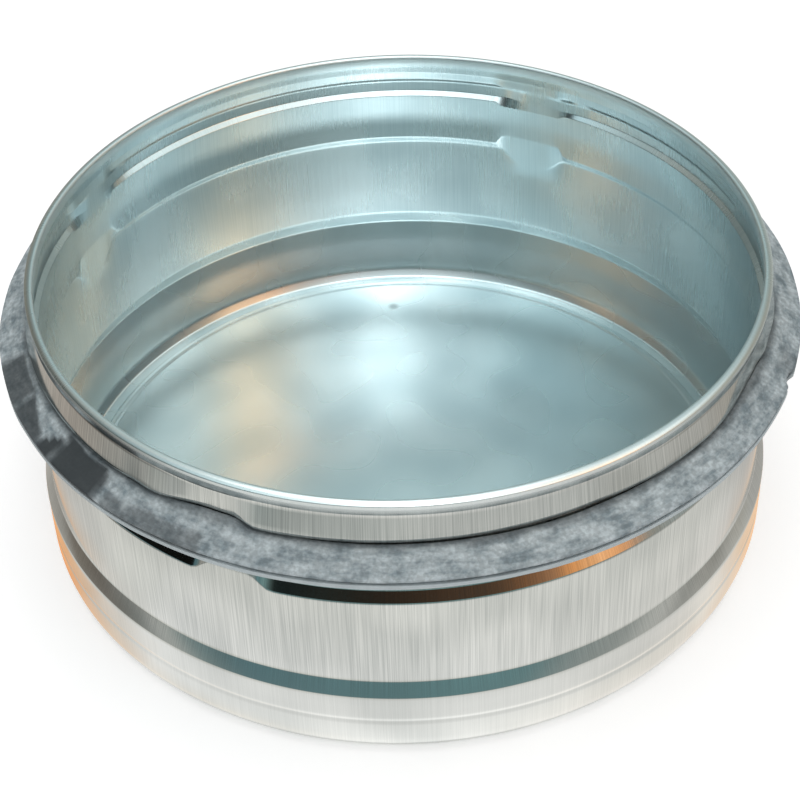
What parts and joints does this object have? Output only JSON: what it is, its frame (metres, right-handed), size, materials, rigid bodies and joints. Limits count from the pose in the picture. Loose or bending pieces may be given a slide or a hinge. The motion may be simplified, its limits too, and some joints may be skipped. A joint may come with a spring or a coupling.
{
  "type": "duct end cap",
  "caption": "Round pressed sheet metal end cap for a ventilation duct, with a folded rim, a stop collar, a raised floor panel and a lipped rubber seal.",
  "frame": {"origin": "centre of the plane that the base ring rests on, on the cap's own axis", "axes": "+Z along the axis from the closed base to the open mouth; +X and +Y are level, and the first plain strip of the wall is 64.3 degrees round from +X towards +Y"},
  "size_m": [0.1336, 0.1336, 0.053],
  "materials": {
    "galvanised_sheet": "bright zinc coated sheet with fine lines along the drawing direction",
    "seal_rubber": "dark rubber under a mottled grey bloom of talc"
  },
  "bodies": {
    "root": {"pressed_shell": "galvanised_sheet", "rubber_seal": "seal_rubber"}
  },
  "joints": []
}
